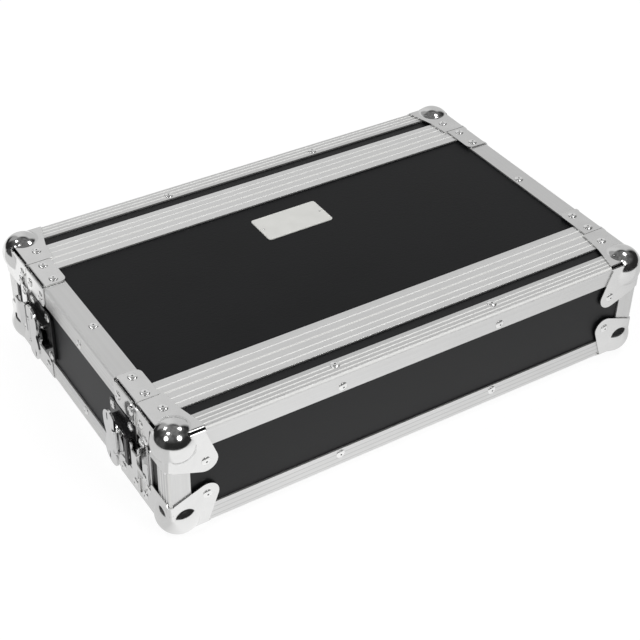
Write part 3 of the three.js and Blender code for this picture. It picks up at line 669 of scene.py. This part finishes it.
dress("sleeve", laminate, BOARD_ROUND)
dress("closing_frame_", aluminium_frame, FRAME_ROUND, EXTRUSION_ROUND_OVER)
dress("edge_angle_", aluminium_y, ANGLE_ROUND, EXTRUSION_ROUND_OVER)
dress("corner_bracket_", plated_steel, METAL_ROUND)
dress("rack_rail_", rail_black, RAIL_ROUND)
dress("latch_plate_", plate_black, METAL_ROUND)
dress("latch_drum_", chrome, METAL_ROUND)
dress("latch_hook_", chrome, METAL_ROUND)
dress("latch_wing_", chrome, METAL_ROUND)
for lid in LIDS.values():
    dress(f"{lid}_tray", lid_laminate, BOARD_ROUND)
    dress(f"{lid}_frame", aluminium_frame, FRAME_ROUND, EXTRUSION_ROUND_OVER)
    dress(f"{lid}_angle_top", aluminium_x, ANGLE_ROUND, EXTRUSION_ROUND_OVER)
    dress(f"{lid}_angle_bottom", aluminium_low, ANGLE_ROUND, EXTRUSION_ROUND_OVER)
    dress(f"{lid}_angle_left", aluminium_z, ANGLE_ROUND, EXTRUSION_ROUND_OVER)
    dress(f"{lid}_angle_right", aluminium_z, ANGLE_ROUND, EXTRUSION_ROUND_OVER)
    dress(f"{lid}_ball_corner_", plated_steel, METAL_ROUND)
    dress(f"{lid}_keeper_", chrome, METAL_ROUND)


def from_corner(sides, inwards):
    """A place given by its lengths inwards from three outer faces, in metres in the model's frame."""
    return Vector((
        sides[0] * (HALF_WIDTH - inwards[0]) * MM,
        sides[1] * (HALF_DEPTH - inwards[1]) * MM,
        (CENTRE_HEIGHT + sides[2] * (HALF_HEIGHT - inwards[2])) * MM,
    ))


def along(axis, length):
    """A vector along one axis."""
    made = Vector((0, 0, 0))
    made[axis] = length
    return made


def circle(radius):
    """Points around a circle, in its plane."""
    angles = [2 * math.pi * i / RIVET_TURNS for i in range(RIVET_TURNS)]
    return [(radius * math.cos(angle), radius * math.sin(angle)) for angle in angles]


def close_rings(mesh_data, rings, smooth, end_slot=0):
    """A closed skin over rings of vertices, lowest first, with end_slot's material at its end."""
    count = len(rings[0])
    for lower, upper in zip(rings, rings[1:]):
        for i in range(count):
            j = (i + 1) % count
            face = mesh_data.faces.new((lower[i], lower[j], upper[j], upper[i]))
            face.smooth = smooth
            face.material_index = end_slot if upper is rings[-1] else 0
    mesh_data.faces.new(list(reversed(rings[0])))
    end = mesh_data.faces.new(rings[-1])
    end.material_index = end_slot


def piece_from_bmesh(name, mesh_data, materials, body):
    """A new piece of the scene that rides on a body."""
    mesh = bpy.data.meshes.new(name)
    bmesh.ops.recalc_face_normals(mesh_data, faces=mesh_data.faces)
    mesh_data.to_mesh(mesh)
    mesh_data.free()
    for material in materials:
        mesh.materials.append(material)
    piece = bpy.data.objects.new(name, mesh)
    bpy.context.scene.collection.objects.link(piece)
    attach(piece, body)
    return piece


# Rivets

def add_rivet(mesh_data, place, out):
    """A domed rivet head with a dimple in its middle, standing on a face that looks along out."""
    turn = out.to_track_quat("Z", "Y").to_matrix()
    rings = []
    for across, up in RIVET_PROFILE:
        ring = [Vector((x, y, up * RIVET_HEIGHT)) * MM for x, y in circle(across * RIVET_RADIUS)]
        rings.append([mesh_data.verts.new(place + turn @ local) for local in ring])
    # The dimple's floor gets the dark metal, which is partly painted shade
    close_rings(mesh_data, rings, smooth=True, end_slot=1)


def add_rivets(mesh_data, rivets, sides):
    """The listed rivets near one corner of the case, named by its sides."""
    for axis, inwards, proud in rivets:
        place = list(inwards)
        place[axis] = -proud
        add_rivet(mesh_data, from_corner(sides, place), along(axis, sides[axis]))


def make_rivets():
    body_rivets = bmesh.new()
    for side_y, lid in LIDS.items():
        lid_rivets = bmesh.new()
        for side_x in HANDS:
            for side_z in LEVELS:
                sides = (side_x, side_y, side_z)
                add_rivets(lid_rivets, BALL_CORNER_RIVETS + LID_ANGLE_RIVETS, sides)
                add_rivets(body_rivets, BRACKET_RIVETS, sides)
            add_rivets(body_rivets, LATCH_PLATE_RIVETS, (side_x, side_y, 1))
            add_rivets(lid_rivets, KEEPER_RIVETS, (side_x, side_y, 1))
        piece_from_bmesh(f"{lid}_rivets", lid_rivets, [rivet_metal, dimple_shade_grey], lid)
    for side_x in HANDS:
        for side_z in LEVELS:
            add_rivets(body_rivets, BODY_ANGLE_RIVETS, (side_x, -1, side_z))
    piece_from_bmesh("body_rivets", body_rivets, [rivet_metal, dimple_shade_grey], "body")


make_rivets()


# Domes of the ball corners. Lengths are millimetres inwards from the three outer faces.

def plate_skin(points):
    """Distance from the plates' outer skin, with its rounded edges and its trimmed corner."""
    inward = EDGE_RADIUS - points
    outside = np.linalg.norm(np.maximum(inward, 0), axis=1)
    inside = np.minimum(inward.max(axis=1), 0)
    skin = outside + inside - (EDGE_RADIUS + PLATE_OUT - DOME_SINK)
    trim = (DOME_INSET - points).sum(axis=1) / math.sqrt(3) - DOME_TRIM
    near = np.maximum(DOME_TRIM_BLEND - np.abs(skin - trim), 0) / DOME_TRIM_BLEND
    return np.maximum(skin, trim) + near * near * DOME_TRIM_BLEND / 4


def dome_skin(points):
    """Distance from the dome joined to the plates by a hollow fillet."""
    ball = np.linalg.norm(points - DOME_INSET, axis=1) - DOME_RADIUS
    plate = plate_skin(points)
    gap_ball = np.maximum(DOME_FILLET - ball, 0)
    gap_plate = np.maximum(DOME_FILLET - plate, 0)
    return np.maximum(DOME_FILLET, np.minimum(ball, plate)) - np.hypot(gap_ball, gap_plate)


def along_rays(distance, rays, low, high):
    """How far along each ray from the dome's centre a skin is."""
    near = np.full(len(rays), low)
    far = np.full(len(rays), high)
    for _ in range(SEARCH_STEPS):
        middle = (near + far) / 2
        inside = distance(DOME_INSET + rays * middle[:, None]) < 0
        near = np.where(inside, middle, near)
        far = np.where(inside, far, middle)
    return (near + far) / 2


def dome_points():
    """Vertices and faces of one dome over the three faces of a corner."""
    steps = np.linspace(-1, DOME_REACH, DOME_GRID)
    a, b = np.meshgrid(steps, steps, indexing="ij")
    a, b = a.ravel(), b.ravel()
    down = np.full(len(a), -1.0)
    rays = np.vstack([np.column_stack(c) for c in ((a, b, down), (a, down, b), (down, a, b))])
    rays /= np.linalg.norm(rays, axis=1)[:, None]
    reach = along_rays(dome_skin, rays, *DOME_SEARCH)
    flat = along_rays(plate_skin, rays, *PLATE_SEARCH)
    raised = reach - flat > DOME_LOWEST_RISE
    points = DOME_INSET + rays * reach[:, None]
    faces = []
    for sheet in range(3):
        start = sheet * DOME_GRID * DOME_GRID
        for i in range(DOME_GRID - 1):
            for j in range(DOME_GRID - 1):
                k = start + i * DOME_GRID + j
                face = (k, k + 1, k + DOME_GRID + 1, k + DOME_GRID)
                if any(raised[v] for v in face):
                    faces.append(face)
    return points, faces


def in_slot(point):
    """Whether a point past the ball lies over one of the two slots along the folds."""
    if (point - DOME_CENTRE).length < DOME_RADIUS + SLOT_CLEAR:
        return False
    along_side = point[0] < FOLD_SLOT and point[2] < FOLD_SLOT and point[1] > DOME_INSET
    along_front = point[1] < FOLD_SLOT and point[2] < FOLD_SLOT and point[0] > DOME_INSET
    return along_side or along_front


def dome_shell(points, faces):
    """The skin of one dome, without what lies over the slots."""
    shell = bmesh.new()
    used = sorted({v for face in faces for v in face})
    verts = {v: shell.verts.new(points[v]) for v in used}
    for face in faces:
        shell.faces.new([verts[v] for v in face])
    bmesh.ops.remove_doubles(shell, verts=shell.verts, dist=JOIN_WITHIN)
    for axis, cut in DOME_CUTS:
        everything = shell.verts[:] + shell.edges[:] + shell.faces[:]
        bmesh.ops.bisect_plane(
            shell, geom=everything, plane_co=along(axis, cut), plane_no=along(axis, 1), dist=JOIN_WITHIN)
    gone = [f for f in shell.faces if in_slot(f.calc_center_median())]
    bmesh.ops.delete(shell, geom=gone, context="FACES")
    for face in shell.faces:
        face.smooth = True
    return shell


def make_dome(name, lid, sides, shell):
    """One ball corner's dome, turned outwards and given the thickness of its sheet."""
    for vert in shell.verts:
        vert.co = from_corner(sides, vert.co)
    centre = from_corner(sides, DOME_CENTRE)
    dome = piece_from_bmesh(name, shell, [plated_steel], lid)
    outwards = sum(f.normal.dot(f.center - centre) for f in dome.data.polygons)
    if outwards < 0:
        dome.data.flip_normals()
    skin = dome.modifiers.new("skin", "SOLIDIFY")
    skin.thickness = DOME_SKIN * MM
    skin.offset = -1


def make_domes():
    points, faces = dome_points()
    for side_y, lid in LIDS.items():
        for side_x, hand in HANDS.items():
            for side_z, level in LEVELS.items():
                sides = (side_x, side_y, side_z)
                make_dome(f"{lid}_dome_{level}_{hand}", lid, sides, dome_shell(points, faces))


make_domes()


# Badge plate

def rounded_outline(half_x, half_y, radius):
    """Points around a rectangle with round corners."""
    points = []
    for quarter, (side_x, side_y) in enumerate(((1, 1), (-1, 1), (-1, -1), (1, -1))):
        centre_x, centre_y = side_x * (half_x - radius), side_y * (half_y - radius)
        for i in range(BADGE_CORNER_STEPS + 1):
            angle = math.radians(90 * quarter + 90 * i / BADGE_CORNER_STEPS)
            points.append((centre_x + radius * math.cos(angle), centre_y + radius * math.sin(angle)))
    return points


def make_badge(panel):
    """A bare enamelled plate with a raised rim and a sunk field, on the top panel."""
    plate = bmesh.new()
    rings = []
    for inset, height in BADGE_RINGS:
        half_x, half_y = BADGE_WIDTH / 2 - inset, BADGE_LENGTH / 2 - inset
        ring = [
            Vector((x, BADGE_Y + y, panel + height)) * MM
            for x, y in rounded_outline(half_x, half_y, BADGE_CORNER - inset)
        ]
        rings.append([plate.verts.new(place) for place in ring])
    close_rings(plate, rings, smooth=False)
    badge = piece_from_bmesh("badge_plate", plate, [enamel], "body")
    soften(badge, BADGE_ROUND, BADGE_ROUND_OVER)


def make_badge_pins(panel):
    """Two small domed pins that hold the badge plate, one near each end."""
    field = panel + BADGE_THICKNESS - BADGE_RECESS
    pins = bmesh.new()
    for side in (-1, 1):
        middle = side * (BADGE_WIDTH / 2 - BADGE_PIN_INSET)
        rings = []
        for across, up in BADGE_PIN_PROFILE:
            ring = [Vector((middle + x, BADGE_Y + y, field + up)) * MM for x, y in circle(across)]
            rings.append([pins.verts.new(place) for place in ring])
        close_rings(pins, rings, smooth=True)
    piece_from_bmesh("badge_pins", pins, [rivet_metal], "body")


panel_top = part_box("sleeve")[1].z / MM
make_badge(panel_top)
make_badge_pins(panel_top)


# Foam pads

def pad_places(half):
    """Places across one side of a pad, close together at its round shoulders."""
    edges = [inset - half for inset in PAD_INSETS]
    flat = 2 * (half - PAD_EDGE)
    count = max(2, round(flat / PAD_STEP))
    inner = [PAD_EDGE - half + i * flat / count for i in range(1, count)]
    return edges + inner + [-v for v in reversed(edges)]


def pad_thickness(x, z, half_x, half_z, full, side_y):
    """How thick a pad is at a place on its face: a round shoulder, a low crown and a slight swell."""
    near_edge = min(half_x - abs(x), half_z - abs(z))
    reach = min(near_edge, PAD_EDGE)
    shoulder = math.sqrt(max(0.0, PAD_EDGE ** 2 - (PAD_EDGE - reach) ** 2))
    rise = full - PAD_CROWN - PAD_ROUGH - PAD_EDGE + shoulder
    crown = PAD_CROWN * (1 - (x / half_x) ** 4) * (1 - (z / half_z) ** 2)
    wave_across = math.sin(PAD_WAVE_ACROSS * x + PAD_WAVE_SHIFT * side_y)
    wave_up = math.sin(PAD_WAVE_UP * z + PAD_WAVE_SLANT * x)
    swell = PAD_ROUGH * wave_across * wave_up
    return max(PAD_LEAST, rise + crown + swell * min(1.0, near_edge / PAD_EDGE))


def make_pad(lid, side_y):
    """A foam pad with round shoulders and a slightly uneven face, glued in the lid."""
    low, high = (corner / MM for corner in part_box(f"{lid}_foam"))
    glued, open_face = (low.y, high.y) if side_y < 0 else (high.y, low.y)
    full = abs(open_face - glued)
    half_x, half_z = (high.x - low.x) / 2, (high.z - low.z) / 2
    middle_z = (high.z + low.z) / 2
    across, upright = pad_places(half_x), pad_places(half_z)
    pad = bmesh.new()
    front, back = [], []
    for x in across:
        front_row, back_row = [], []
        for z in upright:
            thickness = pad_thickness(x, z, half_x, half_z, full, side_y)
            place = Vector((x, glued - side_y * thickness, middle_z + z))
            front_row.append(pad.verts.new(place * MM))
            back_row.append(pad.verts.new(Vector((x, glued, middle_z + z)) * MM))
        front.append(front_row)
        back.append(back_row)
    last_x, last_z = len(across) - 1, len(upright) - 1
    for i in range(last_x):
        for j in range(last_z):
            for rows in (front, back):
                pad.faces.new((rows[i][j], rows[i + 1][j], rows[i + 1][j + 1], rows[i][j + 1]))
    for i in range(last_x):
        for j in (0, last_z):
            pad.faces.new((front[i][j], front[i + 1][j], back[i + 1][j], back[i][j]))
    for j in range(last_z):
        for i in (0, last_x):
            pad.faces.new((front[i][j], front[i][j + 1], back[i][j + 1], back[i][j]))
    for face in pad.faces:
        face.smooth = True
    piece = piece_from_bmesh(f"{lid}_foam_pad", pad, [foam_grey], lid)
    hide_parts(f"{lid}_foam")
    creased = piece.modifiers.new("crease", "NODES")
    creased.node_group = CREASE


for side_y, lid in LIDS.items():
    make_pad(lid, side_y)


# Studio. Metal sees a white floor near the case, a pale backdrop beyond it and a dark room around them.

def grey(shade):
    return (shade, shade, shade, 1)


def ray_kinds(tree):
    """1 where a ray comes straight from the camera, and 1 where it comes off a mirroring surface."""
    path = add_node(tree, "ShaderNodeLightPath").outputs
    seen = math_node(tree, "MAXIMUM", path["Is Camera Ray"], path["Is Transmission Ray"])
    return seen, path["Is Glossy Ray"]


def mirrored_floor(tree):
    """What metal sees of the floor: white around the case and towards the backdrop, dark further off."""
    x, y, _ = parts(tree, add_node(tree, "ShaderNodeNewGeometry").outputs["Position"])
    beyond_x = math_node(tree, "SUBTRACT", math_node(tree, "ABSOLUTE", x), HALF_WIDTH * MM)
    beyond_y = math_node(tree, "SUBTRACT", math_node(tree, "ABSOLUTE", y), HALF_DEPTH * MM)
    beyond = math_node(tree, "MAXIMUM", beyond_x, beyond_y)
    to_side = math_node(tree, "SUBTRACT", beyond_x, beyond_y)
    at_side = spread(tree, to_side, *FLOOR_AT_SIDE)
    white = mixed_value(tree, at_side, spread(tree, x, *FLOOR_ALONG_FRONT), FLOOR_SIDE_SEEN)
    faded = product(tree, white, spread(tree, beyond, *FLOOR_FADING))
    behind = weighted(tree, x, BACKDROP[0], y, BACKDROP[1])
    return math_node(tree, "MAXIMUM", faded, spread(tree, behind, *FLOOR_TO_BACKDROP))


def make_floor():
    bpy.ops.mesh.primitive_plane_add(size=FLOOR_SIZE, location=(0, 0, -FLOOR_DROP))
    floor = bpy.context.object
    floor.name = "studio_floor"
    material = bpy.data.materials.new("studio_floor")
    material.use_nodes = True
    tree = material.node_tree
    tree.nodes.clear()
    seen, glossy = ray_kinds(tree)
    paper = add_node(tree, "ShaderNodeBsdfDiffuse", {"Color": grey(PAPER)}).outputs[0]
    shade = add_node(tree, "ShaderNodeBsdfDiffuse", {"Color": grey(SEEN_PAPER)}).outputs[0]
    glow = add_node(tree, "ShaderNodeEmission", {"Color": grey(1), "Strength": SEEN_GLOW}).outputs[0]
    lit = add_node(tree, "ShaderNodeAddShader", {0: shade, 1: glow}).outputs[0]
    mirror_inputs = {"Color": grey(1), "Strength": mirrored_floor(tree)}
    mirrored = add_node(tree, "ShaderNodeEmission", mirror_inputs).outputs[0]
    unseen = add_node(tree, "ShaderNodeMixShader", {0: glossy, 1: paper, 2: mirrored}).outputs[0]
    surface = add_node(tree, "ShaderNodeMixShader", {0: seen, 1: unseen, 2: lit}).outputs[0]
    add_node(tree, "ShaderNodeOutputMaterial", {"Surface": surface})
    floor.data.materials.append(material)


def mirrored_room(tree):
    """What metal sees around the case: the backdrop, and a dark room with a dim ceiling and wall."""
    direction = add_node(tree, "ShaderNodeTexCoord").outputs["Generated"]
    x, y, z = parts(tree, direction)
    behind = weighted(tree, x, BACKDROP[0], y, BACKDROP[1])
    ceiling = product(tree, spread(tree, z, *CEILING), spread(tree, behind, *CEILING_IN_FRONT))
    walls = math_node(tree, "ADD", ceiling, spread(tree, x, *LEFT_WALL))
    patches = spread(tree, noise(tree, direction, PATCH_SCALE, detail=3.0), *PATCHES)
    room = math_node(tree, "ADD", product(tree, walls, patches), DARK_SEEN)
    level = math_node(tree, "SQRT", math_node(tree, "ADD", product(tree, x, x), product(tree, y, y)))
    towards = math_node(tree, "DIVIDE", behind, level)
    leftwards = product(
        tree, spread(tree, towards, *BACKDROP_WIDER), spread(tree, x, *BACKDROP_LEFTWARDS))
    wider = product(tree, spread(tree, z, *BACKDROP_HIGH), leftwards, BACKDROP_WIDER_SHARE)
    outline = math_node(tree, "MAXIMUM", spread(tree, towards, *BACKDROP_MIDDLE), wider)
    under_top = math_node(tree, "SUBTRACT", spread(tree, behind, *BACKDROP_TOP), z)
    on_backdrop = product(tree, spread(tree, under_top, *BACKDROP_EDGE), outline)
    return mixed_value(tree, on_backdrop, room, spread(tree, x, *BACKDROP_ACROSS))


def make_world():
    world = bpy.data.worlds.new("studio")
    bpy.context.scene.world = world
    world.use_nodes = True
    tree = world.node_tree
    tree.nodes.clear()
    seen, glossy = ray_kinds(tree)
    unseen = mixed_value(tree, glossy, SOFT_LIGHT, mirrored_room(tree))
    strength = mixed_value(tree, seen, unseen, SEEN_BACKGROUND)
    background = add_node(tree, "ShaderNodeBackground", {"Color": grey(1), "Strength": strength})
    add_node(tree, "ShaderNodeOutputWorld", {"Surface": background.outputs[0]})


def make_lamps():
    target = from_corner((-1, -1, 1), DOME_CENTRE)
    for count, (right, up, back, radius, brightness) in enumerate(LAMPS):
        away = (CAMERA_RIGHT * right + CAMERA_UP * up + CAMERA_BACK * back).normalized()
        data = bpy.data.lights.new(f"lamp_{count}", "AREA")
        data.shape = "DISK"
        data.size = 2 * radius
        data.energy = brightness * math.pi * math.pi * radius * radius
        lamp = bpy.data.objects.new(f"lamp_{count}", data)
        lamp.location = target + away * LAMP_DISTANCE
        lamp.rotation_euler = away.to_track_quat("Z", "Y").to_euler()
        lamp.visible_camera = False
        bpy.context.scene.collection.objects.link(lamp)


def make_camera():
    data = bpy.data.cameras.new("camera")
    data.sensor_width = SENSOR_WIDTH
    data.lens = SENSOR_WIDTH * FOCAL_PIXELS / PICTURE_WIDTH
    data.clip_start = CLIP_START
    camera = bpy.data.objects.new("camera", data)
    turn = Matrix((CAMERA_RIGHT, CAMERA_UP, CAMERA_BACK)).transposed()
    camera.matrix_world = Matrix.Translation(CAMERA_PLACE) @ turn.to_4x4()
    bpy.context.scene.collection.objects.link(camera)
    bpy.context.scene.camera = camera


make_floor()
make_world()
make_lamps()
make_camera()
bpy.context.scene.view_settings.view_transform = "Standard"
